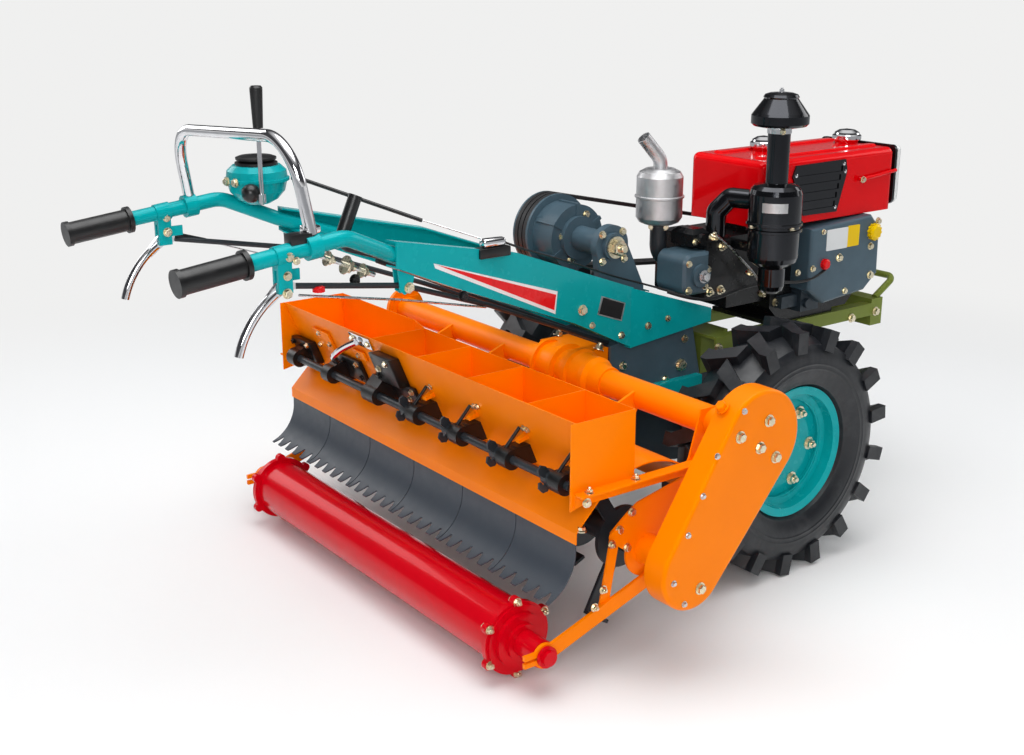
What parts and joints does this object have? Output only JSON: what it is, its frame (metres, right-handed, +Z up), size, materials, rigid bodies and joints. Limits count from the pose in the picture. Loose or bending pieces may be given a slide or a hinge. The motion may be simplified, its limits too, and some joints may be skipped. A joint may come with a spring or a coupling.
{
  "type": "power tiller seeder",
  "caption": "walking tractor on lugged tyres with a small diesel and long handles, carrying an orange rotary seeder with hopper and press roller",
  "frame": {"origin": "centre of the bounding box in plan, on the floor under the tyres and the press roller", "axes": "+X to the machine's right seen from the handles, +Y forward towards the engine and the lamp, +Z up"},
  "size_m": [1.447, 2.2608, 1.226],
  "materials": {
    "tyre": "matt black tyre rubber",
    "teal": "gloss blue-green enamel",
    "blue_grey": "satin blue-grey enamel on castings",
    "gearbox_blue": "satin dark blue enamel on castings",
    "olive": "satin olive-green enamel",
    "engine_black": "satin black enamel",
    "red": "gloss red enamel",
    "orange": "gloss orange enamel",
    "silver": "heat-proof silver paint",
    "dark_iron": "dark unpainted iron and steel",
    "dark_grey": "satin dark grey enamel",
    "chrome": "bright chrome plate",
    "belt_rubber": "matt black belt rubber",
    "grip_rubber": "matt black moulded rubber",
    "white_plastic": "white moulded lamp panel",
    "black_plastic": "matt black moulded housings"
  },
  "bodies": {
    "chassis": {"air_cleaner": "engine_black", "air_stack": "engine_black", "bearing_bracket": "blue_grey", "brake_levers": "chrome", "chain_case_back": "orange", "chain_case_cover": "orange", "clutch": "blue_grey", "control_rods": "dark_iron", "crankcase": "engine_black", "cylinder_block": "engine_black", "cylinder_head": "engine_black", "drive_belts": "belt_rubber", "engine_bed": "olive", "exhaust_elbow": "dark_iron", "flaps": "dark_grey", "flywheel": "engine_black", "front_bumper": "olive", "gear_cover": "blue_grey", "gear_head": "teal", "gear_lever": "chrome", "gearbox": "gearbox_blue", "gearbox_side_plates": "blue_grey", "grips": "grip_rubber", "handle_collars": "teal", "handle_frame": "teal", "hitch_bars": "teal", "hopper": "orange", "hopper_angles": "orange", "intake_elbow": "engine_black", "lamp_panel": "white_plastic", "lever_grips": "grip_rubber", "main_tube": "orange", "metering_units": "black_plastic", "muffler": "silver", "pump_block": "gearbox_blue", "rocker_cover": "blue_grey", "roller_arms": "orange", "rotor_hood": "orange", "second_lever": "dark_iron", "seeder_side_plates": "orange", "side_grille": "engine_black", "tank_caps": "chrome", "tank_hood": "red", "u_bar": "chrome", "valve_block": "engine_black"},
    "wheel_right": {"tyre_right": "tyre", "rim_right": "teal", "half_axle_right": "teal"},
    "wheel_left": {"tyre_left": "tyre", "rim_left": "teal", "half_axle_left": "teal"},
    "rotor": {"rotor": "dark_iron"},
    "press_roller": {"roller": "red"},
    "metering_shaft": {"metering_shaft": "dark_iron"}
  },
  "joints": [
    {"name": "wheel_right_turn", "type": "hinge", "parent": "chassis", "child": "wheel_right", "pos_m": [0.4065, 0.37888, 0.318], "axis": [1, 0, 0], "continuous": true},
    {"name": "wheel_left_turn", "type": "hinge", "parent": "chassis", "child": "wheel_left", "pos_m": [-0.3875, 0.37888, 0.318], "axis": [1, 0, 0], "continuous": true},
    {"name": "rotor_turn", "type": "hinge", "parent": "chassis", "child": "rotor", "pos_m": [-0.057, -0.20912, 0.258], "axis": [1, 0, 0], "continuous": true},
    {"name": "press_roller_turn", "type": "hinge", "parent": "chassis", "child": "press_roller", "pos_m": [-0.0565, -0.49812, 0.096], "axis": [1, 0, 0], "continuous": true},
    {"name": "metering_shaft_turn", "type": "hinge", "parent": "chassis", "child": "metering_shaft", "pos_m": [0.0095, -0.41112, 0.444], "axis": [1, 0, 0], "continuous": true}
  ]
}
